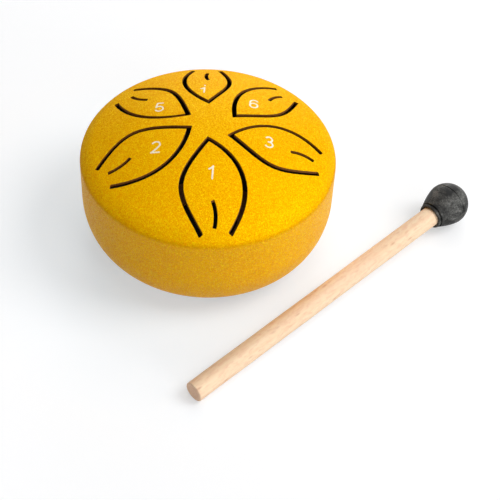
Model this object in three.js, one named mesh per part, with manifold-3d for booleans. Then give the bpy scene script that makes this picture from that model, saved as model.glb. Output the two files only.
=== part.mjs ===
// Small six-note steel tongue drum with its mallet, in millimetres, +Z up.
// The drum stands on three rubber feet and the mallet lies on the same floor beside it.
// The drum's axis is x = 0, y = 0 while the set is built; at the end the whole set is moved so
// that the origin is the middle of its footprint, on the floor.
import * as THREE from "three";
import { mergeVertices } from "three/addons/utils/BufferGeometryUtils.js";
import Module from "manifold-3d";

const wasm = await Module();
wasm.setup();

// Outline of the drum's body, without its feet
const drumRadius = 40;
const crownHeight = 42.2;
const crownDrop = 7.8; // from the middle of the crown down to where the shoulder starts to bend
const crownPower = 2.14; // 2 is a plain bowl, more is flatter in the middle
const shoulderRadius = 8.2;
const baseCurveReach = 10.1; // how far the wall draws in towards the flat base
const baseCurveRise = 15.5; // height of the flat base's edge curve
const sheet = 1.2; // steel sheet of both shells

// Joint of the two shells: the lower one's rim steps in and stands up inside the upper one's skirt
const seamHeight = 18.4;
const seamGap = 0.3;
const lapRise = 4.5;
const lapClearance = 0.3;
const lapStep = 2; // height over which the lower wall steps in

// Sound hole in the middle of the base
const soundHoleRadius = 10;

// Stick-on feet
const footCount = 3;
const footRadius = 4.6;
const footHeight = 2;
const footEase = 0.5;
const footRing = 24; // radius on which the feet stand
const footFilm = 0.3; // adhesive film between a foot and the base

// Tongues. Each has a pointed tip near the drum's axis and an open root towards the rim.
// tipRadius and tipAngle place the tip, heading is the way the tongue runs out to its root, and
// rootInset is the distance from the root's middle to the drum's wall. Angles are in degrees,
// anticlockwise from +X seen from above. A shorter tongue has a higher note.
const tongues = [
  { tipRadius: 5.9, tipAngle: -89, heading: -82, rootInset: 2.4 },
  { tipRadius: 6.1, tipAngle: -168, heading: -146, rootInset: 4.5 },
  { tipRadius: 7.7, tipAngle: -28, heading: -5, rootInset: 4.8 },
  { tipRadius: 8.5, tipAngle: 143, heading: 147, rootInset: 6.2 },
  { tipRadius: 9.4, tipAngle: 36, heading: 49.6, rootInset: 6.3 },
  { tipRadius: 11.7, tipAngle: 94.4, heading: 95, rootInset: 5.2 },
];
const legSlit = 1.3; // width of the slit round a tongue
const rootGap = 8.6; // between the middles of the two slits at the root
// Handles of the two curves that run from tip to root, as shares of the tongue's length:
// along it, then to the side. The first leg is the one on the clockwise side.
const clockwiseHandles = [0.456, -0.333, 0.511, -0.388];
const counterHandles = [0.147, 0.181, 0.516, 0.502];

// Short bowed tuning slit near each root
const tuneSlit = 1.1;
const tuneLengthShare = 0.26;
const tuneToRoot = 5.7; // from the slit's middle to the root
const tuneBow = 0.65;

// Mallet
const stickRadius = 3.25;
const stickEase = 0.35;
const stickShow = 104.8; // bare stick from its tail to the head's mouth
const headRadius = 7;
const headMouthToBall = 7.6; // from the mouth to the centre of the round end
const mouthLip = 0.75; // rubber left round the socket at the mouth
const lipLength = 0.8;
const lipGroove = 0.35;
const socketDepth = 10.5;
const socketClearance = 0.3;
const seamGrooveFromEnd = 3.2; // moulding groove round the far end
const seamGrooveDepth = 0.22;
const tailPlace = new THREE.Vector2(0.75, -70.7);
const malletHeading = 45.8;

// Facets
const drumFacets = 60;
const malletFacets = 32;
const footFacets = 20;
const legSteps = 11;
const tuneSteps = 5;

const degrees = Math.PI / 180;
const baseLevel = footHeight + footFilm; // height of the drum's flat base over the floor

// Materials
const paint = () => new THREE.MeshStandardMaterial({ color: 0xe9ab12, roughness: 0.42, metalness: 0.55 });
const wood = () => new THREE.MeshStandardMaterial({ color: 0xf2cfa0, roughness: 0.6, metalness: 0 });
const rubber = () => new THREE.MeshStandardMaterial({ color: 0x2b2b2b, roughness: 0.7, metalness: 0 });

function point(r, z) {
  return new THREE.Vector2(r, z);
}

// A solid for cutting and joining, from a closed three.js geometry
function toSolid(geometry) {
  const bare = geometry.clone();
  bare.deleteAttribute("normal");
  bare.deleteAttribute("uv");
  const merged = mergeVertices(bare, 1e-4);
  const corners = merged.index.array;
  const kept = [];
  for (let i = 0; i < corners.length; i += 3) {
    const [a, b, c] = [corners[i], corners[i + 1], corners[i + 2]];
    if (a !== b && b !== c && c !== a) kept.push(a, b, c); // a revolve leaves flat corners on its axis
  }
  return new wasm.Manifold(
    new wasm.Mesh({
      numProp: 3,
      vertProperties: new Float32Array(merged.attributes.position.array),
      triVerts: new Uint32Array(kept),
    }),
  );
}

function toGeometry(solid) {
  const mesh = solid.getMesh();
  const geometry = new THREE.BufferGeometry();
  geometry.setAttribute("position", new THREE.BufferAttribute(new Float32Array(mesh.vertProperties), 3));
  geometry.setIndex(new THREE.BufferAttribute(new Uint32Array(mesh.triVerts), 1));
  geometry.computeVertexNormals();
  return geometry;
}

// Revolves a profile of (radius, height) about +Z
function revolve(profile, facets) {
  return new THREE.LatheGeometry(profile, facets).rotateX(Math.PI / 2);
}

function namedMesh(name, geometry, material) {
  const mesh = new THREE.Mesh(geometry, material);
  mesh.name = name;
  return mesh;
}

// Slope angle of the crown at a radius, and the radius where the shoulder's arc meets the crown
function crownSlope(r, edge) {
  return Math.atan((crownDrop * crownPower * Math.pow(r / edge, crownPower - 1)) / edge);
}

function findCrownEdge() {
  let edge = drumRadius - shoulderRadius;
  for (let i = 0; i < 20; i++) {
    edge = drumRadius - shoulderRadius + shoulderRadius * Math.sin(crownSlope(edge, edge));
  }
  return edge;
}

const crownEdge = findCrownEdge();
const shoulderCentre = crownHeight - crownDrop - shoulderRadius * Math.cos(crownSlope(crownEdge, crownEdge));

// Crown and shoulder, from the middle outwards, a given depth under the painted surface
function crownLine(depth) {
  const line = [point(0, crownHeight - depth)];
  const crownSteps = 7;
  for (let i = 1; i <= crownSteps; i++) {
    const r = (crownEdge * i) / crownSteps;
    const slope = crownSlope(r, crownEdge);
    const z = crownHeight - crownDrop * Math.pow(r / crownEdge, crownPower);
    line.push(point(r - depth * Math.sin(slope), z - depth * Math.cos(slope)));
  }
  const start = Math.PI / 2 - crownSlope(crownEdge, crownEdge);
  const shoulderSteps = 6;
  const bend = shoulderRadius - depth;
  for (let i = 1; i <= shoulderSteps; i++) {
    const t = start * (1 - i / shoulderSteps);
    line.push(point(drumRadius - shoulderRadius + bend * Math.cos(t), shoulderCentre + bend * Math.sin(t)));
  }
  return line;
}

// Wall's curve into the flat base, from the wall inwards, a given depth under the painted surface
function baseLine(depth) {
  const line = [];
  const steps = 8;
  for (let i = 0; i <= steps; i++) {
    const t = (-Math.PI / 2) * (i / steps);
    const normal = point(Math.cos(t) / baseCurveReach, Math.sin(t) / baseCurveRise).normalize();
    line.push(
      point(
        drumRadius - baseCurveReach + baseCurveReach * Math.cos(t) - depth * normal.x,
        baseCurveRise + baseCurveRise * Math.sin(t) - depth * normal.y,
      ),
    );
  }
  return line;
}

function makeUpperShell() {
  const rim = seamHeight + seamGap / 2;
  const profile = [
    ...crownLine(sheet),
    point(drumRadius - sheet, rim),
    point(drumRadius, rim),
    ...crownLine(0).reverse(),
  ];
  return toSolid(revolve(profile, drumFacets));
}

function makeLowerShell() {
  const rim = seamHeight - seamGap / 2;
  const lapOuter = drumRadius - sheet - lapClearance;
  const lapInner = lapOuter - sheet;
  const profile = [
    point(soundHoleRadius, 0),
    ...baseLine(0).reverse(),
    point(drumRadius, rim),
    point(lapOuter, rim),
    point(lapOuter, seamHeight + lapRise),
    point(lapInner, seamHeight + lapRise),
    point(lapInner, rim - sheet),
    point(drumRadius - sheet, rim - sheet - lapStep / 2),
    ...baseLine(sheet),
    point(soundHoleRadius, sheet),
    point(soundHoleRadius, 0),
  ];
  return revolve(profile, drumFacets);
}

// Closed outline of a slit of the given width along a path, with square ends and mitred corners
function slitShape(path, width) {
  const left = [];
  const right = [];
  path.forEach((p, i) => {
    const before = i > 0 ? p.clone().sub(path[i - 1]).normalize() : null;
    const after = i < path.length - 1 ? path[i + 1].clone().sub(p).normalize() : null;
    const along = before && after ? before.clone().add(after).normalize() : (before || after).clone();
    const turn = before ? along.dot(before) : 1;
    const side = point(-along.y, along.x).multiplyScalar(width / 2 / turn);
    left.push(p.clone().add(side));
    right.push(p.clone().sub(side));
  });
  return new THREE.Shape([...left, ...right.reverse()]);
}

// Where a tongue lies: its tip, its run and its length to the root
function tongueFrame(tongue) {
  const tip = point(Math.cos(tongue.tipAngle * degrees), Math.sin(tongue.tipAngle * degrees));
  tip.multiplyScalar(tongue.tipRadius);
  const run = point(Math.cos(tongue.heading * degrees), Math.sin(tongue.heading * degrees));
  const across = point(-run.y, run.x);
  const rootRadius = drumRadius - tongue.rootInset;
  const back = tip.dot(run);
  const length = -back + Math.sqrt(back * back + rootRadius * rootRadius - tip.lengthSq());
  const at = (along, aside) => tip.clone().addScaledVector(run, along).addScaledVector(across, aside);
  return { tip, length, at };
}

function legCurve(frame, handles, side) {
  const [a, b, c, d] = handles.map((share) => share * frame.length);
  return new THREE.CubicBezierCurve(
    frame.tip,
    frame.at(a, b),
    frame.at(c, d),
    frame.at(frame.length, (side * rootGap) / 2),
  );
}

// Cutters run straight down through the crown and stop inside the hollow, above the lap joint
function slitCutter(path, width) {
  const floor = shoulderCentre - 1;
  const cutter = new THREE.ExtrudeGeometry(slitShape(path, width), {
    depth: crownHeight + 1 - floor,
    bevelEnabled: false,
    curveSegments: 1,
  });
  return toSolid(cutter.translate(0, 0, floor));
}

function cutTongue(shell, tongue) {
  const frame = tongueFrame(tongue);
  const clockwise = legCurve(frame, clockwiseHandles, -1).getPoints(legSteps);
  const counter = legCurve(frame, counterHandles, 1).getPoints(legSteps);
  const legs = [...clockwise.reverse(), ...counter.slice(1)];
  const middle = frame.length - tuneToRoot;
  const half = (frame.length * tuneLengthShare) / 2;
  const bow = new THREE.QuadraticBezierCurve(
    frame.at(middle - half, -tuneBow / 2),
    frame.at(middle, tuneBow * 1.5),
    frame.at(middle + half, -tuneBow / 2),
  );
  return shell
    .subtract(slitCutter(legs, legSlit))
    .subtract(slitCutter(bow.getPoints(tuneSteps), tuneSlit));
}

function makeFoot() {
  return revolve(
    [
      point(0, 0),
      point(footRadius - footEase, 0),
      point(footRadius, footEase * 0.6),
      point(footRadius, footHeight * 0.5),
      point(footRadius - footEase * 0.5, footHeight),
      point(0, footHeight),
    ],
    footFacets,
  );
}

// The mallet is made along +Z with its tail at 0; the head's mouth is at stickShow
const stickEnd = stickShow + socketDepth - socketClearance;
const ballCentre = stickShow + headMouthToBall;
const socketRadius = stickRadius + socketClearance;

function makeStick() {
  return revolve(
    [
      point(0, 0),
      point(stickRadius - stickEase, 0),
      point(stickRadius, stickEase),
      point(stickRadius, stickEnd - stickEase),
      point(stickRadius - stickEase, stickEnd),
      point(0, stickEnd),
    ],
    malletFacets,
  );
}

function makeHead() {
  const lipRadius = socketRadius + mouthLip;
  const profile = [
    point(0, stickShow + socketDepth),
    point(socketRadius, stickShow + socketDepth),
    point(socketRadius, stickShow + lipLength / 2),
    point(socketRadius + mouthLip * 0.3, stickShow),
    point(socketRadius + mouthLip * 0.8, stickShow),
    point(lipRadius, stickShow + lipLength * 0.35),
    point(lipRadius, stickShow + lipLength * 0.7),
    point(lipRadius - lipGroove / 2, stickShow + lipLength),
  ];
  // The flank swells from behind the lip to the ball's widest ring
  const flankStart = lipRadius + lipGroove / 2;
  const flankSteps = 7;
  for (let i = 0; i < flankSteps; i++) {
    const t = i / flankSteps;
    const s = stickShow + lipLength * 1.25 + t * (headMouthToBall - lipLength * 1.25);
    profile.push(point(flankStart + (headRadius - flankStart) * (1 - Math.pow(1 - t, 1.75)), s));
  }
  const grooveAngle = Math.asin(1 - seamGrooveFromEnd / headRadius);
  const ballSteps = 14;
  for (let i = 0; i <= ballSteps; i++) {
    const t = (Math.PI / 2) * (i / ballSteps);
    const near = Math.abs(t - grooveAngle) < Math.PI / 4 / ballSteps;
    const r = headRadius - (near ? seamGrooveDepth : 0);
    profile.push(point(i === ballSteps ? 0 : r * Math.cos(t), ballCentre + r * Math.sin(t)));
  }
  return revolve(profile, malletFacets);
}

// Lean of the mallet: the ball and the tail's lower edge both touch the floor
function malletLean() {
  const reach = ballCentre - stickEase;
  const span = Math.hypot(reach, stickRadius);
  return Math.asin(headRadius / span) - Math.atan2(stickRadius, reach);
}

// Assembly
const set = new THREE.Group();

const drum = new THREE.Group();
drum.position.z = baseLevel;
const upper = tongues.reduce(cutTongue, makeUpperShell());
drum.add(namedMesh("top_shell", toGeometry(upper), paint()));
drum.add(namedMesh("bottom_shell", makeLowerShell(), paint()));
set.add(drum);

for (let i = 0; i < footCount; i++) {
  const angle = 90 * degrees + (i * 2 * Math.PI) / footCount;
  const foot = namedMesh("foot_" + (i + 1), makeFoot(), rubber());
  foot.position.set(footRing * Math.cos(angle), footRing * Math.sin(angle), 0);
  set.add(foot);
}

const mallet = new THREE.Group();
mallet.add(namedMesh("mallet_stick", makeStick(), wood()));
mallet.add(namedMesh("mallet_head", makeHead(), rubber()));
mallet.rotation.y = Math.PI / 2 - malletLean(); // lays the +Z axis down along +X, head end up
const malletTurn = new THREE.Group();
malletTurn.add(mallet);
malletTurn.rotation.z = malletHeading * degrees;
malletTurn.position.set(tailPlace.x, tailPlace.y, 0);
set.add(malletTurn);
malletTurn.updateMatrixWorld(true);
malletTurn.position.z = -new THREE.Box3().setFromObject(malletTurn, true).min.z;

// Origin: middle of the footprint, on the floor
const tongueDrumSet = new THREE.Group();
tongueDrumSet.add(set);
tongueDrumSet.updateMatrixWorld(true);
const reach = new THREE.Box3().setFromObject(set, true);
set.position.set(-(reach.min.x + reach.max.x) / 2, -(reach.min.y + reach.max.y) / 2, -reach.min.z);

export default tongueDrumSet;
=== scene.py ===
import math

import bpy
import numpy as np
from mathutils import Matrix, Vector, noise
from mathutils.geometry import delaunay_2d_cdt


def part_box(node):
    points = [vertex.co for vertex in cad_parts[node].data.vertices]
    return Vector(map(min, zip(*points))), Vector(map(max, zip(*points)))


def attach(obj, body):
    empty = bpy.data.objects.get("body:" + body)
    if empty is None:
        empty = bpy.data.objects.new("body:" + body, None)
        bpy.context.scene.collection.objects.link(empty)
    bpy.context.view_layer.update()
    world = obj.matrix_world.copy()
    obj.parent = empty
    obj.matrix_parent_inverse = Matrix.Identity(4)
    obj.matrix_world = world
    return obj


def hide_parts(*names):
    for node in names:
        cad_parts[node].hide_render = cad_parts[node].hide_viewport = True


# A small steel tongue drum in sparkling golden paint, with its mallet lying beside it.
# Shapes are worked out in millimetres and become metres when a mesh is made.

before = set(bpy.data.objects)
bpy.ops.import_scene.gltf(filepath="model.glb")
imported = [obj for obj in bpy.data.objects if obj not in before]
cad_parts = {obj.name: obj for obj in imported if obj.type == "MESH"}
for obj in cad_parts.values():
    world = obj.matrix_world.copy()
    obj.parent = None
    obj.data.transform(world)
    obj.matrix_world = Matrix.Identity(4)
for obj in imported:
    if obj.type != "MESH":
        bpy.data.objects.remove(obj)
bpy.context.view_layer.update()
mm = 0.001

shellLow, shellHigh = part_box("bottom_shell")
# Middle of the flat base
drumAxis = Vector(((shellLow.x + shellHigh.x) / 2, (shellLow.y + shellHigh.y) / 2, shellLow.z))


# Camera

camera = {
    "distance": 0.432,  # from the lens to the middle of the drum's base
    "elevation": 47.2604,
    "roll": 3.4334,
    "lens": 94.44,
    "sensor": 36.0,
    "clip": (0.01, 20),
    "frameSize": 500,
    "baseMiddle": (206.84, 220.80),  # where the middle of the base falls in that frame
}


def makeCamera():
    elevation = math.radians(camera["elevation"])
    roll = math.radians(camera["roll"])
    forward = Vector((0, math.cos(elevation), -math.sin(elevation)))
    level = Vector((1, 0, 0))
    rise = Vector((0, math.sin(elevation), math.cos(elevation)))
    frameRight = level * math.cos(roll) + rise * math.sin(roll)
    frameUp = rise * math.cos(roll) - level * math.sin(roll)
    pixel = camera["distance"] * camera["sensor"] / camera["lens"] / camera["frameSize"]
    aside = (camera["baseMiddle"][0] - camera["frameSize"] / 2) * pixel
    down = (camera["baseMiddle"][1] - camera["frameSize"] / 2) * pixel
    place = drumAxis - forward * camera["distance"] - frameRight * aside + frameUp * down
    data = bpy.data.cameras.new("camera")
    data.lens = camera["lens"]
    data.sensor_width = camera["sensor"]
    data.clip_start, data.clip_end = camera["clip"]
    view = bpy.data.objects.new("camera", data)
    turn = Matrix((frameRight, frameUp, -forward)).transposed()
    view.matrix_world = Matrix.Translation(place) @ turn.to_4x4()
    bpy.context.scene.collection.objects.link(view)
    bpy.context.scene.camera = view


makeCamera()
print("camera made")


# Meshes from rings and faces

def makePiece(name, mesh, materials, place=Matrix.Identity(4)):
    piece = bpy.data.objects.new(name, mesh)
    for material in materials:
        mesh.materials.append(material)
    piece.matrix_world = place
    bpy.context.scene.collection.objects.link(piece)
    return piece


def smoothMesh(name, points, faces, place=None):
    sharpAngle = math.radians(35)
    mesh = bpy.data.meshes.new(name)
    mesh.from_pydata([p * mm for p in points], [], faces)
    if place:
        mesh.transform(place)
    mesh.polygons.foreach_set("use_smooth", [True] * len(faces))
    mesh.set_sharp_from_angle(angle=sharpAngle)
    mesh.update()
    return mesh


def latheMesh(name, profile, segments, closed=False, finish=None, wobble=None, place=None):
    # A profile of (radius, height) turned about +Z. It runs so that its right-hand side is the outside.
    points, rings, faces, finishes = [], [], [], []
    for radius, height in profile:
        if radius == 0:
            rings.append([len(points)] * segments)
            points.append(Vector((0, 0, height)))
            continue
        rings.append(list(range(len(points), len(points) + segments)))
        for step in range(segments):
            angle = 2 * math.pi * step / segments
            grown = radius + (wobble(angle, height) if wobble else 0)
            points.append(Vector((grown * math.cos(angle), grown * math.sin(angle), height)))
    pairs = list(zip(rings, rings[1:])) + ([(rings[-1], rings[0])] if closed else [])
    for number, (here, there) in enumerate(pairs):
        for step in range(segments):
            after = (step + 1) % segments
            corners = [here[step], there[step], there[after], here[after]]
            corners = [c for i, c in enumerate(corners) if c != corners[i - 1]]
            faces.append(corners)
            finishes.append(finish(number) if finish else 0)
    mesh = smoothMesh(name, points, faces, place)
    mesh.polygons.foreach_set("material_index", finishes)
    return mesh


def arcPoints(middle, radii, start, end, steps):
    # Points on an arc, angles in degrees
    angles = np.radians(np.linspace(start, end, steps + 1))
    return [(middle[0] + radii[0] * math.cos(a), middle[1] + radii[1] * math.sin(a)) for a in angles]


# Node helpers

class Finish:
    def __init__(self, name, place=None):
        self.place = place  # where the pattern's own axes lie, for a piece that isn't upright
        self.material = bpy.data.materials.new(name)
        self.material.use_nodes = True
        self.tree = self.material.node_tree
        self.shader = self.tree.nodes["Principled BSDF"]

    def add(self, kind, values=None, **settings):
        node = self.tree.nodes.new("ShaderNode" + kind)
        for name, value in settings.items():
            setattr(node, name, value)
        for name, value in (values or {}).items():
            self.feed(node.inputs[name], value)
        return node

    def feed(self, socket, value):
        if isinstance(value, bpy.types.NodeSocket):
            self.tree.links.new(value, socket)
        else:
            socket.default_value = value

    def set(self, **values):
        for name, value in values.items():
            self.feed(self.shader.inputs[name.replace("_", " ")], value)

    def here(self):
        spot = self.add("TexCoord").outputs["Object"]
        if self.place is None:
            return spot
        middle, turn = self.place.to_translation(), self.place.to_euler()
        values = {"Vector": spot, "Location": middle, "Rotation": turn}
        return self.add("Mapping", values, vector_type="TEXTURE").outputs["Vector"]

    def stretched(self, scale, turn=(0, 0, 0)):
        values = {"Vector": self.here(), "Scale": scale, "Rotation": turn}
        return self.add("Mapping", values).outputs["Vector"]

    def noise(self, scale, detail=4, roughness=0.55, vector=None, distortion=0.0):
        node = self.add("TexNoise", {"Vector": vector or self.here(), "Scale": scale, "Detail": detail,
                                     "Roughness": roughness, "Distortion": distortion})
        return node.outputs["Fac"]

    def cells(self, scale, vector=None):
        return self.add("TexVoronoi", {"Vector": vector or self.here(), "Scale": scale, "Randomness": 1.0})

    def part(self, colour, channel):
        return self.add("SeparateColor", {"Color": colour}).outputs[channel]

    def spread(self, value, low, high, toLow=0.0, toHigh=1.0):
        node = self.add("MapRange", {"Value": value, "From Min": low, "From Max": high,
                                     "To Min": toLow, "To Max": toHigh})
        return node.outputs["Result"]

    def join(self, a, b, operation="ADD"):
        return self.add("Math", {0: a, 1: b}, operation=operation).outputs["Value"]

    def vectors(self, operation, a, b=None):
        values = {0: a} if b is None else {0: a, 1: b}
        return self.add("VectorMath", values, operation=operation).outputs["Vector"]

    def mix(self, share, a, b):
        return self.add("Mix", {"Factor": share, 6: a, 7: b}, data_type="RGBA").outputs[2]

    def bump(self, height, distance, strength=1.0, normal=None):
        values = {"Height": height, "Distance": distance * mm, "Strength": strength}
        if normal:
            values["Normal"] = normal
        return self.add("Bump", values).outputs["Normal"]


def rgb(red, green, blue):
    # Linear colour from the 0 to 255 numbers of a colour picker
    def linear(value):
        share = value / 255
        return share / 12.92 if share <= 0.04045 else ((share + 0.055) / 1.055) ** 2.4
    return (linear(red), linear(green), linear(blue), 1.0)


# Golden paint: a tinted coat full of tiny metal flakes. Each cell of a fine pattern leans its own way.

paint = {
    "colour": rgb(247, 181, 0),
    "deep": rgb(244, 171, 0),
    "shade": rgb(228, 145, 0),
    "bright": rgb(251, 209, 10),
    "flakeSize": 0.2,
    "glintSize": 0.23,
    "glintShare": 0.8,
    "flakeLean": 0.42,
    "wallLean": 0.95,  # the coat lies rougher on the wall
    "wallShine": 0.11,
    "paintedBendShade": rgb(196, 122, 0),  # painted shade in the tight bend above the wall
    "paintedBendShadeShare": 0.32,
    "paintedBendShadeFrom": (0.02, 0.2),  # both as the upward part of the surface's direction
    "paintedBendShadeTo": (0.54, 0.26),
    "metallic": 0.15,
    "roughness": 0.45,
    "cloudScale": 90,
    "peelScale": 2400,
    "peelDepth": 0.01,
}


def makePaint():
    look = Finish("goldPaint")
    flakes = look.cells(1 / (paint["flakeSize"] * mm)).outputs["Color"]
    glints = look.cells(1 / (paint["glintSize"] * mm)).outputs["Color"]
    flat = look.add("NewGeometry").outputs["Normal"]
    upright = look.add("SeparateXYZ", {"Vector": flat}).outputs["Z"]
    lean = look.vectors("SUBTRACT", flakes, (0.5, 0.5, 0.5))
    amount = look.spread(upright, 0.1, 0.8, paint["wallLean"], paint["flakeLean"])
    lean = look.add("VectorMath", {0: lean, "Scale": amount}, operation="SCALE").outputs["Vector"]
    leaning = look.vectors("NORMALIZE", look.vectors("ADD", flat, lean))

    cloud = look.noise(paint["cloudScale"], detail=3)
    base = look.mix(look.spread(cloud, 0.35, 0.65), paint["deep"], paint["colour"])
    base = look.mix(look.spread(look.part(flakes, "Red"), 0.35, 0.9), base, paint["shade"])
    base = look.mix(look.spread(look.part(flakes, "Green"), 0.6, 0.95), base, paint["bright"])
    # Painted glints: a few random cells take the bright colour, standing in for the flakes' sparkle
    paintedGlint = look.spread(look.part(glints, "Blue"), 0.88, 0.96, 0.0, paint["glintShare"])
    base = look.mix(paintedGlint, base, paint["bright"])
    # Painted shade: the colour darkens in the tight bend above the wall, chosen by the surface's slope
    bend = look.join(look.spread(upright, *paint["paintedBendShadeFrom"]), look.spread(upright, *paint["paintedBendShadeTo"]),
                     "MULTIPLY")
    base = look.mix(look.join(bend, paint["paintedBendShadeShare"], "MULTIPLY"), base, paint["paintedBendShade"])
    peel = look.noise(paint["peelScale"], detail=2)
    look.set(Base_Color=base, Metallic=paint["metallic"], Roughness=paint["roughness"],
             Normal=look.bump(peel, paint["peelDepth"], 0.3, leaning),
             Specular_IOR_Level=look.spread(upright, 0.02, 0.3, paint["wallShine"], 0.0))
    return look.material


# Bare steel

steel = {
    "sawn": (rgb(118, 66, 18), rgb(160, 102, 36)),  # burnt brown, with paint mist on it
    "sawnRoughness": 0.6,
    "sawnStreaks": (2500, 2500, 400),
    "sawnDepth": 0.03,
    # Steel inside the shells, kept very dark as painted shade for the hollow seen through the slits
    "inside": (rgb(30, 26, 22), rgb(58, 50, 40)),
    "insideRoughness": (0.45, 0.65),
    "insideMetallic": 0.5,
    "blotchScale": 120,
    "scratches": (900, 900, 60),
    "scratchDepth": 0.02,
}


def makeCutEdge():
    look = Finish("cutEdge")
    streaks = look.noise(1, detail=4, vector=look.stretched(steel["sawnStreaks"]))
    colour = look.mix(look.spread(streaks, 0.3, 0.7), *steel["sawn"])
    look.set(Base_Color=colour, Metallic=0.0, Roughness=steel["sawnRoughness"],
             Normal=look.bump(streaks, steel["sawnDepth"]))
    return look.material


def makeInnerSteel():
    look = Finish("innerSteel")
    blotches = look.noise(steel["blotchScale"], detail=5)
    scratches = look.noise(1, detail=3, vector=look.stretched(steel["scratches"]))
    # The dark inside colours stand in partly for the shade of the drum's hollow
    colour = look.mix(look.spread(blotches, 0.35, 0.7), *steel["inside"])
    look.set(Base_Color=colour, Metallic=steel["insideMetallic"],
             Roughness=look.spread(blotches, 0.3, 0.7, *steel["insideRoughness"]),
             Normal=look.bump(scratches, steel["scratchDepth"], 0.6))
    return look.material


shellFinishes = [makePaint(), makeCutEdge(), makeInnerSteel()]
painted, sawn, bare = range(3)  # their places in that list


# Drum body

shell = {
    "radius": 40.0,
    "height": 42.2,
    "crownDrop": 7.8,
    "crownPower": 2.14,
    "shoulderRadius": 9.35,
    "rimRadius": 4.0,  # the shoulder turns tighter just before the wall
    "rimSlope": 56,
    "baseReach": 10.1,  # of the wall's curve into the flat base
    "baseRise": 15.5,
    "sheet": 1.2,
    "seamHeight": 18.4,  # welded and painted over, so the two shells meet without a line
    "lapRise": 4.5,
    "lapSlope": 1.2,
    "lapEase": 0.2,
    "lapClearance": 0.3,
    "soundHole": 10.0,
    "edgeRound": 0.3,
}
grid = {
    "segments": 240,
    "outerSlope": 62,  # the plan view covers the shoulder down to these slopes
    "innerSlope": 68,
    "step": 0.85,
    "innerStart": 1.5,
    "innerStep": 1.6,
    "innerGap": 0.8,
    "clear": 0.38,  # from a slit's outline
    "beside": 0.3,
    "outerBend": 10,  # rings of each stretch
    "innerBend": 7,
    "skirt": (11, 5, 4, 6),
    "baseCurve": (28, 16),
    "baseFlat": (10, 6),
    "mouth": 4,
}

tongues = [
    {"note": "one", "noteAt": (2.3, -18.6), "tip": (5.9, -89), "heading": -82, "inset": 2.4},
    {"note": "two", "noteAt": (-15.5, -9.3), "tip": (6.1, -168), "heading": -146, "inset": 4.5},
    {"note": "three", "noteAt": (18.6, -4.1), "tip": (7.7, -28), "heading": -5, "inset": 4.8, "rise": 0.42},
    {"note": "five", "noteAt": (-16.1, 9.3), "tip": (8.5, 143), "heading": 147, "inset": 6.2, "rise": -0.4},
    {"note": "six", "noteAt": (13.2, 13.3), "tip": (9.4, 36), "heading": 49.6, "inset": 6.3},
    {"note": "highOne", "noteAt": (-2.7, 19.4), "tip": (11.7, 94.4), "heading": 95, "inset": 5.2},
]
slit = {
    "legWidth": 1.45,
    "rootGap": 8.6,
    "clockwise": (0.456, -0.333, 0.511, -0.388),  # curve handles, along and aside, as shares of the length
    "counter": (0.147, 0.181, 0.516, 0.502),
    "tuneWidth": 1.16,
    "tuneShare": 0.26,
    "tuneToRoot": 5.7,
    "tuneBow": 0.65,
    "endRound": 0.3,
    "sawnDepth": 0.9,  # brown upper part of the cut wall; below it the wall is darkened as painted shade
    "lipRound": 0.12,  # paint rolls over the cut edge
    "lipAngles": [0, math.pi / 6, math.pi / 3, math.pi / 2],
    "smoothTurn": 0.8,  # cosine of a turn that is still shaded as a curve
    "pointStep": 0.42,
    "riseFade": 1.3,  # how the rise of a tip dies away towards its root
}


def crownSlope(r, edge):
    drop, power = shell["crownDrop"], shell["crownPower"]
    return math.atan(drop * power * (r / edge) ** (power - 1) / edge)


# The crown's edge moves until crown, shoulder and rim meet at one slope
rimSlope = math.radians(shell["rimSlope"])
rimMiddle = shell["radius"] - shell["rimRadius"]
crownEdge = rimMiddle
for _ in range(30):
    turned = math.sin(rimSlope) - math.sin(crownSlope(crownEdge, crownEdge))
    crownEdge = rimMiddle + shell["rimRadius"] * math.sin(rimSlope) - shell["shoulderRadius"] * turned
edgeSlope = crownSlope(crownEdge, crownEdge)
shoulderMiddle = crownEdge - shell["shoulderRadius"] * math.sin(edgeSlope)
shoulderHeight = shell["height"] - shell["crownDrop"] - shell["shoulderRadius"] * math.cos(edgeSlope)
wallTop = shoulderHeight + (shell["shoulderRadius"] - shell["rimRadius"]) * math.cos(rimSlope)


def shoulderAt(slope, depth=0.0):
    # Distance from the axis and height of the shoulder where it has a slope
    if slope <= rimSlope:
        bend = shell["shoulderRadius"] - depth
        return shoulderMiddle + bend * math.sin(slope), shoulderHeight + bend * math.cos(slope)
    bend = shell["rimRadius"] - depth
    return rimMiddle + bend * math.sin(slope), wallTop + bend * math.cos(slope)


def skinAt(r, depth=0.0):
    # Height and slope of the crown and shoulder at a distance from the axis, some depth under the paint
    if r <= crownEdge - depth * math.sin(edgeSlope):
        over = r
        for _ in range(5):
            over = r + depth * math.sin(crownSlope(over, crownEdge))
        slope = crownSlope(over, crownEdge)
        fall = shell["crownDrop"] * (over / crownEdge) ** shell["crownPower"]
        return shell["height"] - fall - depth * math.cos(slope), slope
    if r <= shoulderAt(rimSlope, depth)[0]:
        slope = math.asin((r - shoulderMiddle) / (shell["shoulderRadius"] - depth))
    else:
        slope = math.asin(min(1.0, (r - rimMiddle) / (shell["rimRadius"] - depth)))
    return shoulderAt(slope, depth)[1], slope


def skinNormal(x, y):
    r = math.hypot(x, y)
    slope = skinAt(r)[1]
    aside = math.sin(slope) / r if r > 0 else 0.0
    return Vector((x * aside, y * aside, math.cos(slope)))


def evenly(path, step):
    # The same path with points at even distances
    path = np.asarray(path, float)
    along = np.concatenate([[0], np.cumsum(np.linalg.norm(np.diff(path, axis=0), axis=1))])
    count = max(2, int(round(along[-1] / step)))
    at = np.linspace(0, along[-1], count + 1)
    return np.column_stack([np.interp(at, along, path[:, 0]), np.interp(at, along, path[:, 1])])


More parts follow.
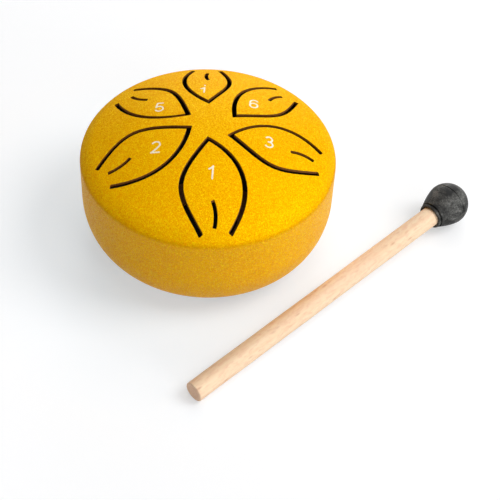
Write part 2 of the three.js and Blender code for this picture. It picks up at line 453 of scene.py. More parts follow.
def bezier(points, steps=120):
    t = np.linspace(0, 1, steps + 1)[:, None]
    a, b, c, d = [np.asarray(p, float) for p in points]
    return a * (1 - t) ** 3 + 3 * b * t * (1 - t) ** 2 + 3 * c * t ** 2 * (1 - t) + d * t ** 3


def unit(vector):
    return vector / np.linalg.norm(vector)


def sideOf(direction):
    return np.array((-direction[1], direction[0]))


def towards(degrees):
    return np.array((math.cos(math.radians(degrees)), math.sin(math.radians(degrees))))


def strokeEnd(end, way, half, ease, steps=3):
    # Square end of a stroke with eased corners, from its left side to its right
    side = sideOf(way)
    turns = np.linspace(0, math.pi / 2, steps + 1)
    left, right = end - way * ease + side * (half - ease), end - way * ease - side * (half - ease)
    leftEase = [left + ease * (math.cos(t) * side + math.sin(t) * way) for t in turns]
    rightEase = [right + ease * (math.sin(t) * way - math.cos(t) * side) for t in turns]
    return leftEase + rightEase[::-1]


def strokeOutline(path, width, endRound):
    # Closed anticlockwise outline of a stroke of even width, mitred where it turns
    path = np.asarray(path, float)
    half = width / 2
    sharpTurn, crowding = 0.5, half * 1.5
    ways = [unit(b - a) for a, b in zip(path, path[1:])]
    sides = []
    for hand in (1, -1):
        edge, sharp = [], []
        for i in range(1, len(path) - 1):
            along = unit(ways[i - 1] + ways[i])
            edge.append(path[i] + sideOf(along) * hand * half / along.dot(ways[i]))
            turn = ways[i - 1][0] * ways[i][1] - ways[i - 1][1] * ways[i][0]
            if turn * hand > sharpTurn:
                sharp.append(i)
        # Beside the inner corner of a sharp turn the points would cross over, so they go
        crowded = [any(i != c and np.linalg.norm(path[i] - path[c]) < crowding for c in sharp)
                   for i in range(1, len(path) - 1)]
        sides.append([point for point, out in zip(edge, crowded) if not out])
    outline = np.array(sides[0] + strokeEnd(path[-1], ways[-1], half, endRound)
                       + sides[1][::-1] + strokeEnd(path[0], -ways[0], half, endRound))
    area = np.sum(outline[:, 0] * np.roll(outline[:, 1], -1) - np.roll(outline[:, 0], -1) * outline[:, 1])
    return outline if area > 0 else outline[::-1]


def tongueSlits(tongue):
    # Middle lines of the long slit round a tongue and of the short one near its root
    tip = tongue["tip"][0] * towards(tongue["tip"][1])
    run = towards(tongue["heading"])
    back = tip.dot(run)
    length = -back + math.sqrt(back ** 2 + (shell["radius"] - tongue["inset"]) ** 2 - tip.dot(tip))

    def at(along, aside):
        return tip + run * along + sideOf(run) * aside

    def leg(handles, hand):
        a, b, c, d = [share * length for share in handles]
        curve = bezier((tip, at(a, b), at(c, d), at(length, hand * slit["rootGap"] / 2)))
        return evenly(curve, slit["pointStep"])

    legs = np.concatenate([leg(slit["clockwise"], -1)[::-1], leg(slit["counter"], 1)[1:]])
    middle = length - slit["tuneToRoot"]
    half = length * slit["tuneShare"] / 2
    bow = slit["tuneBow"]
    start, peak, end = at(middle - half, -bow / 2), at(middle, bow * 1.5), at(middle + half, -bow / 2)
    handles = start + (peak - start) * 2 / 3, end + (peak - end) * 2 / 3
    return legs, evenly(bezier((start, *handles, end)), slit["pointStep"])


def tongueLeans():
    # Tongues that stand a little above or below the crown at their tip
    leans = []
    for tongue in tongues:
        if "rise" in tongue:
            legs = tongueSlits(tongue)[0]
            tip = legs[np.argmin(np.hypot(legs[:, 0], legs[:, 1]))]
            root = (legs[0] + legs[-1]) / 2
            leans.append((legs, tip, (root - tip) / np.dot(root - tip, root - tip), tongue["rise"]))
    return leans


leaningTongues = tongueLeans()


def inside(x, y, loop):
    nextLoop = np.roll(loop, -1, axis=0)
    straddles = (loop[:, 1] > y) != (nextLoop[:, 1] > y)
    a, b = loop[straddles], nextLoop[straddles]
    crossings = a[:, 0] + (y - a[:, 1]) * (b[:, 0] - a[:, 0]) / (b[:, 1] - a[:, 1])
    return np.count_nonzero(crossings > x) % 2 == 1


def liftTo(x, y, depth=0.0, drop=0.0):
    # From the plan view up to the crown
    height = skinAt(math.hypot(x, y), depth)[0] - drop
    for loop, tip, along, rise in leaningTongues:
        toRoot = (x - tip[0]) * along[0] + (y - tip[1]) * along[1]
        if toRoot < 1 and inside(x, y, loop):
            height += rise * (1 - max(0.0, toRoot)) ** slit["riseFade"]
    return Vector((x, y, height))


def planTriangles(rim, holes, loose):
    # Triangles over a plan view, from its rim to the holes' outlines. Points are numbered rim, holes, loose.
    points, loops = [], []
    for loop in [rim] + holes:
        loops.append(list(range(len(points), len(points) + len(loop))))
        points.extend(Vector(p) for p in loop)
    points.extend(Vector(p) for p in loose)
    places, _, triangles, sources, _, kinds = delaunay_2d_cdt(points, [], loops, 1, 1e-6, True)
    triangles = [t for t, kind in zip(triangles, kinds) if kind == [0]]
    number = {i: (source[0] if source else None) for i, source in enumerate(sources)}
    if any(number[c] is None for t in triangles for c in t):
        raise ValueError("outlines cross each other")
    result = []
    for a, b, c in triangles:
        turn = (places[b] - places[a]).cross(places[c] - places[a])
        result.append([number[a], number[b], number[c]] if turn > 0 else [number[a], number[c], number[b]])
    return points, result


def ringPoints(radius, count, turn=0.0):
    angles = [2 * math.pi * (i + turn) / count for i in range(count)]
    return [(radius * math.cos(angle), radius * math.sin(angle)) for angle in angles]


def scatterInside(radii, outlines, keepOff):
    # Points on rings, without those in or close to a slit
    edges = np.concatenate([np.asarray(o) for o in outlines])
    kept = [(0.0, 0.0)]
    for number, radius in enumerate(radii):
        count = max(6, int(round(2 * math.pi * radius / grid["step"])))
        for x, y in ringPoints(radius, count, 0.5 * (number % 2)):
            def away(line):
                return np.min(np.sum((line - (x, y)) ** 2, axis=1))
            free = all(away(line) >= reach ** 2 for line, reach in keepOff)
            if free and away(edges) >= grid["clear"] ** 2:
                kept.append((x, y))
    return kept


class SkinBuilder:
    # Collects points and faces with a normal for each corner of each face
    def __init__(self):
        self.points, self.faces, self.normals, self.finishes = [], [], [], []

    def point(self, place):
        self.points.append(place)
        return len(self.points) - 1

    def face(self, corners, normals, finish):
        self.faces.append(corners)
        self.normals.extend(normals)
        self.finishes.append(finish)

    def mesh(self, name):
        mesh = bpy.data.meshes.new(name)
        mesh.from_pydata([p * mm for p in self.points], [], self.faces)
        mesh.polygons.foreach_set("material_index", self.finishes)
        mesh.polygons.foreach_set("use_smooth", [True] * len(self.faces))
        mesh.normals_split_custom_set([n.normalized() for n in self.normals])
        mesh.update()
        return mesh


def cutSlits():
    # Every slit's outline, middle line, ways from its edge into the steel and rings of its rolled lip
    lip = slit["lipRound"]
    cuts = []
    for tongue in tongues:
        for line, width in zip(tongueSlits(tongue), (slit["legWidth"], slit["tuneWidth"])):
            outline = strokeOutline(line, width, slit["endRound"])
            ways = [unit(b - a) for a, b in zip(outline, np.roll(outline, -1, axis=0))]
            aways = [np.array((w[1], -w[0])) for w in ways]
            mitres = [(aways[i - 1] + away) / (1 + aways[i - 1].dot(away)) for i, away in enumerate(aways)]
            rings = [[o + m * lip * (1 - math.sin(angle)) for o, m in zip(outline, mitres)]
                     for angle in slit["lipAngles"]]
            cuts.append({"outline": outline, "line": line, "half": width / 2, "aways": aways, "rings": rings})
    return cuts


def layCrown(builder, cuts, holes, radii, besideSlit, depth):
    # One side of the crown's sheet. Returns the point numbers round its rim and round each slit.
    rim = ringPoints(radii[-1], grid["segments"])
    keepOff = [(cut["line"], cut["half"] + besideSlit) for cut in cuts]
    plan, triangles = planTriangles(rim, holes, scatterInside(radii[:-1], holes, keepOff))
    first = len(builder.points)
    for x, y in plan:
        builder.point(liftTo(x, y, depth))
    shades = [-skinNormal(x, y) if depth else skinNormal(x, y) for x, y in plan]
    for a, b, c in triangles:
        corners = (a, c, b) if depth else (a, b, c)
        builder.face([first + i for i in corners], [shades[i] for i in corners], bare if depth else painted)
    loops = []
    for loop in [rim] + holes:
        loops.append(list(range(first, first + len(loop))))
        first += len(loop)
    return loops[0], loops[1:]


def edgeSlit(builder, cut, outerLoop, innerLoop):
    # Paint rolling over the edge, then the cut wall: brown above, and the dark inside finish lower down as
    # painted shade
    lip, angles, outline, aways = slit["lipRound"], slit["lipAngles"], cut["outline"], cut["aways"]
    rows = [outerLoop]
    for angle, ring in list(zip(angles, cut["rings"]))[1:]:
        drop = lip * (1 - math.cos(angle))
        rows.append([builder.point(liftTo(x, y, 0.0, drop)) for x, y in ring])
    rows.append([builder.point(liftTo(x, y, 0.0, lip + slit["sawnDepth"])) for x, y in outline])
    rows.append(innerLoop)
    rowLeans = angles + [angles[-1]] * 2
    # Painted shade: the lowest row of the cut wall takes the dark inside finish
    rowFinishes = [painted] * (len(angles) - 1) + [sawn, bare]
    for k, finish in enumerate(rowFinishes):
        upper, lower = rowLeans[k], rowLeans[k + 1]
        for i in range(len(outline)):
            j = (i + 1) % len(outline)
            normals = []
            for corner, lean in ((i, upper), (j, upper), (j, lower), (i, lower)):
                other = aways[i - 1] if corner == i else aways[j]
                rounded = aways[i].dot(other) > slit["smoothTurn"]
                facing = unit(aways[i] + other if rounded else aways[i])
                up = skinNormal(*outline[corner])
                normals.append(up * math.cos(lean) + Vector((-facing[0], -facing[1], 0)) * math.sin(lean))
            builder.face([rows[k][i], rows[k][j], rows[k + 1][j], rows[k + 1][i]], normals, finish)


def closeSkirt(builder, outerRim, innerRim, outerSlope, innerSlope):
    # Shoulder, wall, rim at the seam and back up inside, each ring with its radius, height, lean and finish
    segments, level = grid["segments"], math.pi / 2
    outerBend, outerWall, innerWall, innerBend = grid["skirt"]
    seam, insideWall = shell["seamHeight"], shell["radius"] - shell["sheet"]
    line = [(*shoulderAt(slope), level - slope, painted)
            for slope in np.linspace(outerSlope, level, outerBend)[1:]]
    line += [(shell["radius"], z, 0, painted) for z in np.linspace(wallTop, seam, outerWall)[1:]]
    line += [(insideWall, seam, math.pi, bare)]
    line += [(insideWall, z, math.pi, bare) for z in np.linspace(seam, wallTop, innerWall)[1:]]
    line += [(*shoulderAt(slope, shell["sheet"]), level * 3 - slope, bare)
             for slope in np.linspace(level, innerSlope, innerBend)[1:-1]]
    rings = [outerRim]
    for radius, z, _, _ in line:
        rings.append([builder.point(Vector((x, y, z))) for x, y in ringPoints(radius, segments)])
    rings.append(innerRim)
    leans = [level - outerSlope] + [lean for _, _, lean, _ in line] + [level * 3 - innerSlope]
    finishes = [finish for _, _, _, finish in line] + [bare]
    for k, finish in enumerate(finishes):
        atSeam = leans[k] < level < leans[k + 1]
        for i in range(segments):
            j = (i + 1) % segments
            normals = []
            for step, lean in ((i, leans[k]), (i, leans[k + 1]), (j, leans[k + 1]), (j, leans[k])):
                angle = 2 * math.pi * step / segments
                outward = Vector((math.cos(angle), math.sin(angle), 0))
                up = Vector((0, 0, math.sin(lean)))
                normals.append(Vector((0, 0, -1)) if atSeam else outward * math.cos(lean) + up)
            builder.face([rings[k][i], rings[k + 1][i], rings[k + 1][j], rings[k][j]], normals, finish)


def makeCrownShell():
    sheet = shell["sheet"]
    outerSlope, innerSlope = math.radians(grid["outerSlope"]), math.radians(grid["innerSlope"])
    builder = SkinBuilder()
    cuts = cutSlits()
    crownRadii = list(np.linspace(0, crownEdge, int(crownEdge / grid["step"])))[1:-1]
    bendRadii = [shoulderAt(slope)[0] for slope in np.linspace(edgeSlope, outerSlope, grid["outerBend"])]
    outerRim, outerLoops = layCrown(builder, cuts, [cut["rings"][0] for cut in cuts], crownRadii + bendRadii,
                                    slit["lipRound"] + grid["beside"], 0.0)
    bendSlopes = np.linspace(edgeSlope, innerSlope, grid["innerBend"])
    bendRadii = [shoulderAt(slope, sheet)[0] for slope in bendSlopes]
    crownRadii = list(np.arange(grid["innerStart"], bendRadii[0] - grid["innerGap"], grid["innerStep"]))
    innerRim, innerLoops = layCrown(builder, cuts, [cut["outline"] for cut in cuts], crownRadii + bendRadii,
                                    grid["beside"], sheet)
    for cut, outerLoop, innerLoop in zip(cuts, outerLoops, innerLoops):
        edgeSlit(builder, cut, outerLoop, innerLoop)
    closeSkirt(builder, outerRim, innerRim, outerSlope, innerSlope)
    piece = makePiece("crownShell", builder.mesh("crownShell"), shellFinishes, Matrix.Translation(drumAxis))
    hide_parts("top_shell")
    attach(piece, "drum")


def wallCurve(depth, steps):
    # From the wall inwards to the flat base, some depth under the paint
    reach, rise = shell["baseReach"], shell["baseRise"]
    line = []
    for i in range(steps + 1):
        angle = -math.pi / 2 * i / steps
        away = unit(np.array((math.cos(angle) / reach, math.sin(angle) / rise)))
        line.append((shell["radius"] - reach + reach * math.cos(angle) - depth * away[0],
                     rise + rise * math.sin(angle) - depth * away[1]))
    return line


def makeBaseShell():
    sheet, hole, ease, seam = shell["sheet"], shell["soundHole"], shell["edgeRound"], shell["seamHeight"]
    (outerCurve, innerCurve), (outerFlat, innerFlat) = grid["baseCurve"], grid["baseFlat"]
    steps = grid["mouth"]
    outer = [(shell["radius"], seam)] + wallCurve(0, outerCurve)
    outer += [(r, 0) for r in np.linspace(outer[-1][0], hole + ease, outerFlat)[1:-1]]
    mouth = arcPoints((hole + ease, ease), (ease, ease), 270, 180, steps)
    mouth += arcPoints((hole + ease, sheet - ease), (ease, ease), 180, 90, steps)
    inner = wallCurve(sheet, innerCurve)[::-1]
    inner = [(r, sheet) for r in np.linspace(hole + ease, inner[0][0], innerFlat)[1:-1]] + inner

    # The lap stands up inside the other shell's skirt
    lapOuter = shell["radius"] - sheet - shell["lapClearance"]
    lapInner, lapFoot = lapOuter - sheet, seam - sheet
    lapTop, lapEase = seam + shell["lapRise"], shell["lapEase"]
    lap = [(shell["radius"] - sheet, lapFoot - shell["lapSlope"]), (lapInner, lapFoot),
           (lapInner, lapTop - lapEase), (lapInner + lapEase, lapTop),
           (lapOuter - lapEase, lapTop), (lapOuter, lapTop - lapEase), (lapOuter, seam)]

    def finish(run):
        if run < len(outer) + steps:
            return painted
        return sawn if run <= len(outer) + len(mouth) else bare

    profile = outer + mouth + inner + lap
    mesh = latheMesh("baseShell", profile, grid["segments"], closed=True, finish=finish)
    piece = makePiece("baseShell", mesh, shellFinishes, Matrix.Translation(drumAxis))
    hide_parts("bottom_shell")
    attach(piece, "drum")


makeCrownShell()
makeBaseShell()
print("shells made")


# Note numbers, printed on the paint in thin cream ink

noteInk = {
    "colour": (rgb(255, 247, 226), rgb(252, 234, 190)),
    "roughness": 0.55,
    "stroke": 0.52,
    "thickness": 0.05,
    "sunk": 0.03,
    "pointStep": 0.3,
    "endRound": 0.16,
    "wornScale": 2600,
    "wornDepth": 0.015,
}
noteShapes = {
    "one": [[(-1.3, 3.4), (-0.7, 3.75), (0.0, 4.45)], [(0.0, 4.8), (0.0, 0.0)]],
    "two": [arcPoints((0.0, 3.34), (1.18, 1.17), 165, -30, 14) + [(0.1, 1.55), (-1.2, 0.29)],
            [(-1.5, 0.29), (1.4, 0.29)]],
    "three": [arcPoints((-0.05, 3.47), (1.02, 1.04), 155, -90, 14) + [(-0.42, 2.43)],
              [(-0.42, 2.43)] + arcPoints((-0.02, 1.36), (1.2, 1.07), 90, -155, 16)],
    "five": [[(1.18, 4.51), (-0.72, 4.51), (-1.06, 2.1)],
             arcPoints((0.02, 1.54), (1.2, 1.25), 150, -158, 18)],
    "six": [arcPoints((0.1, 3.1), (1.25, 1.41), 28, 180, 12) + [(-1.18, 1.5)],
            arcPoints((0.02, 1.5), (1.2, 1.21), 190, -10, 16),
            arcPoints((0.02, 1.5), (1.2, 1.21), 10, -190, 16)],
    "highOne": [[(-1.25, 2.4), (-0.7, 2.65), (0.0, 3.2)], [(0.0, 3.5), (0.0, 0.0)],
                [(0.0, 4.45), (0.0, 5.1)]],
}


def makeInk():
    look = Finish("creamInk")
    worn = look.noise(noteInk["wornScale"], detail=3)
    look.set(Base_Color=look.mix(look.spread(worn, 0.35, 0.75), *noteInk["colour"]),
             Roughness=noteInk["roughness"], Normal=look.bump(worn, noteInk["wornDepth"], 0.6))
    return look.material


def printNote(tongue, ink):
    # The strokes' outlines melt into one thin film that follows the crown
    name, strokes = "note_" + tongue["note"], noteShapes[tongue["note"]]
    heights = [p[1] for stroke in strokes for p in stroke]
    middle = (max(heights) + min(heights)) / 2
    loops, points = [], []
    for stroke in strokes:
        outline = strokeOutline(evenly(stroke, noteInk["pointStep"]), noteInk["stroke"], noteInk["endRound"])
        loops.append(list(range(len(points), len(points) + len(outline))))
        points.extend(Vector(p) for p in outline)
    places, _, triangles, _, _, kinds = delaunay_2d_cdt(points, [], loops, 1, 1e-5, True)
    aside, ahead = tongue["noteAt"]
    film = []
    for drop in (-noteInk["thickness"], noteInk["sunk"]):
        film += [liftTo(p.x + aside, p.y - middle + ahead, 0.0, drop) for p in places]
    under = len(places)
    faces, border = [], {}
    for a, b, c in [t for t, kind in zip(triangles, kinds) if kind]:
        if (places[b] - places[a]).cross(places[c] - places[a]) < 0:
            b, c = c, b
        faces.append([a, b, c])
        faces.append([a + under, c + under, b + under])
        for edge in ((a, b), (b, c), (c, a)):
            if edge[::-1] in border:
                del border[edge[::-1]]
            else:
                border[edge] = True
    for a, b in border:
        faces.append([b, a, a + under, b + under])
    piece = makePiece(name, smoothMesh(name, film, faces), [ink], Matrix.Translation(drumAxis))
    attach(piece, "drum")


creamInk = makeInk()
for tongue in tongues:
    printNote(tongue, creamInk)
print("notes made")


# Rubber feet

foot = {
    "radius": 4.6,
    "height": 2.0,
    "topEase": 0.25,
    "rimEase": (0.5, 0.3),
    "dish": [(0.62, 0.0), (0.58, 0.08), (0.3, 0.12), (0, 0.12)],  # share of the radius, height
    "dark": rgb(34, 34, 34),
    "light": rgb(58, 58, 57),
    "roughness": 0.7,
}
bloomed = {
    "cloudScale": 222,
    "fineScale": 2200,
    "streaks": (500, 160, 300),
    "streakTurn": (0.4, 0.2, 0.9),
    "depth": 0.06,
    "shine": 0.2,
}


def makeRubber(name, dark, light, roughness, place=None):
    # Matte black with a pale bloom in clouds and streaks
    look = Finish(name, place)
    clouds = look.noise(bloomed["cloudScale"], detail=6, roughness=0.65, distortion=0.6)
    fine = look.noise(bloomed["fineScale"], detail=4, roughness=0.6)
    streaks = look.noise(1, detail=4, vector=look.stretched(bloomed["streaks"], bloomed["streakTurn"]))
    bloom = look.join(look.spread(clouds, 0.44, 0.66, 0.0, 0.85), look.spread(streaks, 0.48, 0.75, 0.0, 0.5))
    bloom = look.join(bloom, look.spread(fine, 0.35, 0.65, 0.3, 1.3), "MULTIPLY")
    look.set(Base_Color=look.mix(bloom, dark, light),
             Roughness=look.spread(clouds, 0.35, 0.7, roughness - 0.1, roughness + 0.1),
             Normal=look.bump(look.join(fine, clouds), bloomed["depth"], 0.5),
             Specular_IOR_Level=bloomed["shine"])
    return look.material


def makeFeet():
    rubber = makeRubber("footRubber", foot["dark"], foot["light"], foot["roughness"])
    radius, top, rim = foot["radius"], foot["topEase"], foot["rimEase"]
    profile = [(0, foot["height"])] + arcPoints((radius - top, foot["height"] - top), (top, top), 90, 0, 4)
    profile += arcPoints((radius - rim[0], rim[1]), rim, 0, -90, 6)
    profile += [(radius * share, height) for share, height in foot["dish"]]
    for number in (1, 2, 3):
        low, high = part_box("foot_%d" % number)
        place = Matrix.Translation(((low.x + high.x) / 2, (low.y + high.y) / 2, low.z))
        piece = makePiece("footPad_%d" % number, latheMesh("footPad", profile, 64), [rubber], place)
        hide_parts("foot_%d" % number)
        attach(piece, "drum")


makeFeet()
print("feet made")


# Mallet

mallet = {
    "tail": (0.75, -70.7),  # from the drum's axis
    "heading": 45.8,
    "segments": 96,
}
dowel = {
    "radius": 3.25,
    "ease": 0.35,
    "show": 103.8,
    "rings": 90,
    "tailFace": [(0.6, 0.02), (0.3, -0.02), (0, 0.0)],  # share of the radius, height
    "wobble": 0.05,
    "wobblePace": 0.06,
}
bulb = {  # the head
    "radius": 7.0,
    "mouthToBall": 8.6,
    "socketDepth": 10.5,
    "socketRings": (1.5, 4, 8),
    "clearance": 0.3,
    "mouthLip": 0.75,
    "lipRoll": (0.37, 0.42),
    "mouthEase": (0.1, 0.25),
    "groove": (0.6, 0.35),  # behind the lip
    "grooveAt": (0.05, 0.992),
    "flankStep": 0.25,
    "flankFrom": 1.2,
    "flankBulge": 1.45,
    "seamPastMiddle": 0.5,
    "seamDepth": 0.3,
    "seamWidth": 0.17,
    "dark": rgb(18, 18, 18),
    "light": rgb(114, 114, 111),
    "roughness": 0.6,
}
beech = {
    "grain": (rgb(247, 221, 188), rgb(239, 205, 168)),
    "broad": rgb(240, 200, 172),
    "mottle": rgb(232, 184, 150),
    "fleck": rgb(196, 138, 104),
    "shares": (0.4, 0.7, 0.7),  # of these three
    "roughness": (0.55, 0.7),
    "shine": 0.35,
    "depth": 0.03,
    "end": (rgb(255, 216, 184), rgb(246, 200, 166)),
    "endPores": rgb(190, 150, 120),
    "endRoughness": 0.8,
    "endDepth": 0.06,
    "scales": {"bands": 700, "broad": 240, "mottle": 1000, "flecks": 760, "pores": 3200, "rings": 260,
               "endPores": 2600},
    "lengths": {"bands": 0.045, "broad": 0.12, "mottle": 0.35, "flecks": 0.3, "rings": 0.2},
}


def malletPlace():
    # Lays the mallet's +Z along the floor, with the tail's lower edge and the ball both touching it
    ball = dowel["show"] + bulb["mouthToBall"]
    reach = ball - dowel["ease"]
    lean = math.asin(bulb["radius"] / math.hypot(reach, dowel["radius"])) - math.atan2(dowel["radius"], reach)
    height = bulb["radius"] - ball * math.sin(lean)
    tail = Vector((drumAxis.x, drumAxis.y, 0)) + Vector((*mallet["tail"], height)) * mm
    turn = Matrix.Rotation(math.radians(mallet["heading"]), 4, "Z")
    return Matrix.Translation(tail) @ (turn @ Matrix.Rotation(math.pi / 2 - lean, 4, "Y"))


def drawnOut(look, pattern):
    # Stretches a pattern along the stick
    return look.stretched((1, 1, beech["lengths"][pattern]))


def makeBeech(place):
    look = Finish("beech", place)
    scales, (broadShare, mottleShare, fleckShare) = beech["scales"], beech["shares"]
    along = drawnOut(look, "bands")
    bands = look.noise(scales["bands"], detail=5, roughness=0.6, vector=along, distortion=0.3)
    broad = look.noise(scales["broad"], detail=2, vector=drawnOut(look, "broad"))
    colour = look.mix(look.spread(bands, 0.3, 0.72), *beech["grain"])
    colour = look.mix(look.spread(broad, 0.45, 0.75, 0.0, broadShare), colour, beech["broad"])
    mottle = look.noise(scales["mottle"], detail=5, roughness=0.65, vector=drawnOut(look, "mottle"),
                        distortion=0.5)
    colour = look.mix(look.spread(mottle, 0.46, 0.68, 0.0, mottleShare), colour, beech["mottle"])
    flecks = look.cells(scales["flecks"], drawnOut(look, "flecks"))
    near = look.spread(flecks.outputs["Distance"], 0.08, 0.34, 1.0, 0.0)
    chosen = look.spread(look.part(flecks.outputs["Color"], "Red"), 0.55, 0.95)
    fleck = look.join(near, chosen, "MULTIPLY")
    colour = look.mix(look.join(fleck, fleckShare, "MULTIPLY"), colour, beech["fleck"])
    pores = look.noise(scales["pores"], detail=3, vector=along)
    look.set(Base_Color=colour, Roughness=look.spread(bands, 0.3, 0.7, *beech["roughness"]),
             Normal=look.bump(look.join(pores, fleck, "SUBTRACT"), beech["depth"], 0.6),
             Specular_IOR_Level=beech["shine"])
    return look.material


def makeEndGrain(place):
    look = Finish("endGrain", place)
    values = {"Vector": drawnOut(look, "rings"), "Scale": beech["scales"]["rings"], "Distortion": 4.0,
              "Detail": 3.0, "Detail Scale": 1.5}
    rings = look.add("TexWave", values, wave_type="RINGS", rings_direction="SPHERICAL")
    pores = look.noise(beech["scales"]["endPores"], detail=4)
    colour = look.mix(look.spread(rings.outputs["Fac"], 0.2, 0.8, 0.0, 0.5), *beech["end"])
    colour = look.mix(look.spread(pores, 0.52, 0.75, 0.0, 0.35), colour, beech["endPores"])
    look.set(Base_Color=colour, Roughness=beech["endRoughness"],
             Normal=look.bump(pores, beech["endDepth"]))
    return look.material


def makeStick(place):
    radius, ease = dowel["radius"], dowel["ease"]
    end = dowel["show"] + bulb["socketDepth"] - bulb["clearance"]
    profile = [(0, end)] + arcPoints((radius - ease, end - ease), (ease, ease), 90, 0, 4)
    profile += [(radius, z) for z in np.linspace(end - ease, ease, dowel["rings"])[1:-1]]
    profile += arcPoints((radius - ease, ease), (ease, ease), 0, -90, 5)
    profile += [(radius * share, z) for share, z in dowel["tailFace"]]
    wood, endWood = 0, 1
    endRun = len(profile) - 5

    def handSanded(angle, height):
        spot = Vector((math.cos(angle), math.sin(angle), height * dowel["wobblePace"]))
        return dowel["wobble"] * noise.noise(spot)

    mesh = latheMesh("malletStick", profile, mallet["segments"], wobble=handSanded, place=place,
                     finish=lambda run: endWood if run >= endRun else wood)
    stick = makePiece("malletStick", mesh, [makeBeech(place), makeEndGrain(place)])
    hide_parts("mallet_stick")
    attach(stick, "mallet")


def makeHead(place):
    mouth, depth, full = dowel["show"], bulb["socketDepth"], bulb["radius"]
    socket = dowel["radius"] + bulb["clearance"]
    lip = socket + bulb["mouthLip"]
    ball = mouth + bulb["mouthToBall"]
    profile = [(0, ball + full)]
    for t in np.concatenate([np.linspace(math.pi / 2, 0.2, 40)[1:], np.linspace(0.19, 0, 26)]):
        fromSeam = (t * full - bulb["seamPastMiddle"]) / bulb["seamWidth"]
        radius = full - bulb["seamDepth"] * math.exp(-fromSeam ** 2)
        profile.append((radius * math.cos(t), ball + radius * math.sin(t)))
    flank, back = lip + bulb["flankStep"], mouth + bulb["flankFrom"]
    for t in np.linspace(1, 0, 15)[1:]:
        bulge = 1 - (1 - t) ** bulb["flankBulge"]
        profile.append((flank + (full - flank) * bulge, back + t * (ball - back)))
    grooveOut, grooveUp = bulb["grooveAt"]
    (roll, rollUp), (ease, easeUp) = bulb["lipRoll"], bulb["mouthEase"]
    profile += arcPoints((lip + grooveOut, mouth + grooveUp), bulb["groove"], 60, 270, 7)[1:]
    profile += arcPoints((lip - roll, mouth + rollUp), (roll, rollUp), 30, -90, 7)
    profile += arcPoints((socket + ease, mouth + easeUp), (ease, easeUp), -90, -180, 3)
    profile += [(socket, mouth + z) for z in (*bulb["socketRings"], depth)] + [(0, mouth + depth)]
    rubber = makeRubber("headRubber", bulb["dark"], bulb["light"], bulb["roughness"], place)
    mesh = latheMesh("malletHead", profile, mallet["segments"], place=place)
    head = makePiece("malletHead", mesh, [rubber])
    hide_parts("mallet_head")
    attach(head, "mallet")


laidDown = malletPlace()
makeStick(laidDown)
makeHead(laidDown)
print("mallet made")


# Floor, world and lamps

stage = {
    "floorReach": 1.6,
    "floorSteps": 16,
    "floorColour": (0.62, 0.626, 0.638, 1),
    "floorGrain": 0.985,
    "floorGrainScale": 800,
    "floorRoughness": 0.9,
    "floorShine": 0.1,
    "floorLift": 0.46,  # light added for the camera alone, so that the floor is white and keeps its shadow
    "underDrum": (0.021, 0.030),  # painted shadow under the drum, fading out between these distances from its axis
    "paintedShadowColour": (0.02, 0.02, 0.02, 1),
    "shadowTint": (0.91, 1.02, 1.1, 1),  # painted bluish light near the drum, which evens out the golden light that the drum throws on the floor
    "tintReach": (0.042, 0.085),
    "skyLight": 0.01,
    "lampsAway": 2.5,
    "lampSize": 1.4,
    "lampAim": 0.02,
}
lamps = [
    {"name": "frontLow", "side": -90, "rise": 7, "power": 7.1},
    {"name": "frontMiddle", "side": -90, "rise": 28, "power": 3.8},
    {"name": "frontRightLow", "side": -45, "rise": 7, "power": 26.9},
    {"name": "frontRightMiddle", "side": -45, "rise": 28, "power": 2.3},
    {"name": "frontRightHigh", "side": -45, "rise": 52, "power": 2.0},
    {"name": "rightLow", "side": 0, "rise": 7, "power": 4.5},
    {"name": "rightMiddle", "side": 0, "rise": 28, "power": 7.7},
    {"name": "rightHigh", "side": 0, "rise": 52, "power": 27.8},
    {"name": "backRightMiddle", "side": 45, "rise": 28, "power": 2.0},
    {"name": "backRightHigh", "side": 45, "rise": 52, "power": 4.8},
    {"name": "backLow", "side": 90, "rise": 7, "power": 22.2},
    {"name": "backHigh", "side": 90, "rise": 52, "power": 9.1},
    {"name": "leftLow", "side": -179, "rise": 7, "power": 9.3},
    {"name": "top", "side": 0, "rise": 89.9, "power": 7.6},
]


def seenShare(tree):
    # 1 where something is looked at, straight or in a mirror or glass, and 0 where it only gives light
    seen = tree.nodes.new("ShaderNodeLightPath")
    share = seen.outputs["Is Camera Ray"]
    for other in ("Is Glossy Ray", "Is Transmission Ray"):
        both = tree.nodes.new("ShaderNodeMath")
        both.operation = "MAXIMUM"
        tree.links.new(share, both.inputs[0])
        tree.links.new(seen.outputs[other], both.inputs[1])
        share = both.outputs["Value"]
    return share


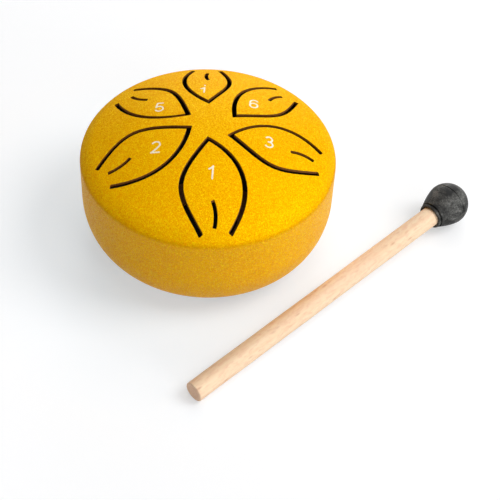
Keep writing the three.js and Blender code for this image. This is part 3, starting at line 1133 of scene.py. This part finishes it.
def makeFloor():
    steps = stage["floorSteps"]
    marks = [-stage["floorReach"] + 2 * stage["floorReach"] * i / steps for i in range(steps + 1)]
    row = len(marks)
    faces = [[j * row + i, j * row + i + 1, (j + 1) * row + i + 1, (j + 1) * row + i]
             for j in range(steps) for i in range(steps)]
    mesh = bpy.data.meshes.new("floor")
    mesh.from_pydata([(x, y, 0) for y in marks for x in marks], [], faces)
    look = Finish("floorPaper")
    ends = {0: look.here(), 1: (drumAxis.x, drumAxis.y, 0)}
    apart = look.add("VectorMath", ends, operation="DISTANCE").outputs["Value"]
    # Painted shadow: under the drum the floor turns near black and gets no added light
    outsidePaintedShadow = look.spread(apart, *stage["underDrum"])
    share = look.join(seenShare(look.tree), outsidePaintedShadow, "MULTIPLY")
    # Painted light: near the drum the added light turns bluish
    lift = look.mix(look.spread(apart, *stage["tintReach"], 1.0, 0.0), (1, 1, 1, 1), stage["shadowTint"])
    grey = [c * stage["floorGrain"] for c in stage["floorColour"][:3]] + [1]
    grain = look.noise(stage["floorGrainScale"], detail=3)
    colour = look.mix(look.spread(grain, 0.3, 0.7), stage["floorColour"], grey)
    look.set(Base_Color=look.mix(outsidePaintedShadow, stage["paintedShadowColour"], colour),
             Roughness=stage["floorRoughness"], Specular_IOR_Level=stage["floorShine"],
             Emission_Color=lift, Emission_Strength=look.join(share, stage["floorLift"], "MULTIPLY"))
    floor = makePiece("floor", mesh, [look.material])


def makeLight():
    world = bpy.data.worlds.new("world")
    bpy.context.scene.world = world
    world.use_nodes = True
    nodes, links = world.node_tree.nodes, world.node_tree.links
    share = nodes.new("ShaderNodeMapRange")
    share.inputs["To Min"].default_value = stage["skyLight"]
    share.inputs["To Max"].default_value = 1.0
    links.new(seenShare(world.node_tree), share.inputs["Value"])
    background = nodes["Background"]
    background.inputs["Color"].default_value = (1, 1, 1, 1)
    links.new(share.outputs["Result"], background.inputs["Strength"])
    for lamp in lamps:
        data = bpy.data.lights.new(lamp["name"], "AREA")
        data.shape = "DISK"
        data.size = stage["lampSize"]
        data.energy = lamp["power"]
        light = bpy.data.objects.new(lamp["name"], data)
        side, rise = math.radians(lamp["side"]), math.radians(lamp["rise"])
        away = Vector((math.cos(rise) * math.cos(side), math.cos(rise) * math.sin(side), math.sin(rise)))
        light.location = stage["lampsAway"] * away
        aim = Vector((0, 0, stage["lampAim"])) - light.location
        light.rotation_euler = aim.to_track_quat("-Z", "Y").to_euler()
        bpy.context.scene.collection.objects.link(light)


makeFloor()
makeLight()
bpy.context.scene.view_settings.view_transform = "Standard"
print("stage made")
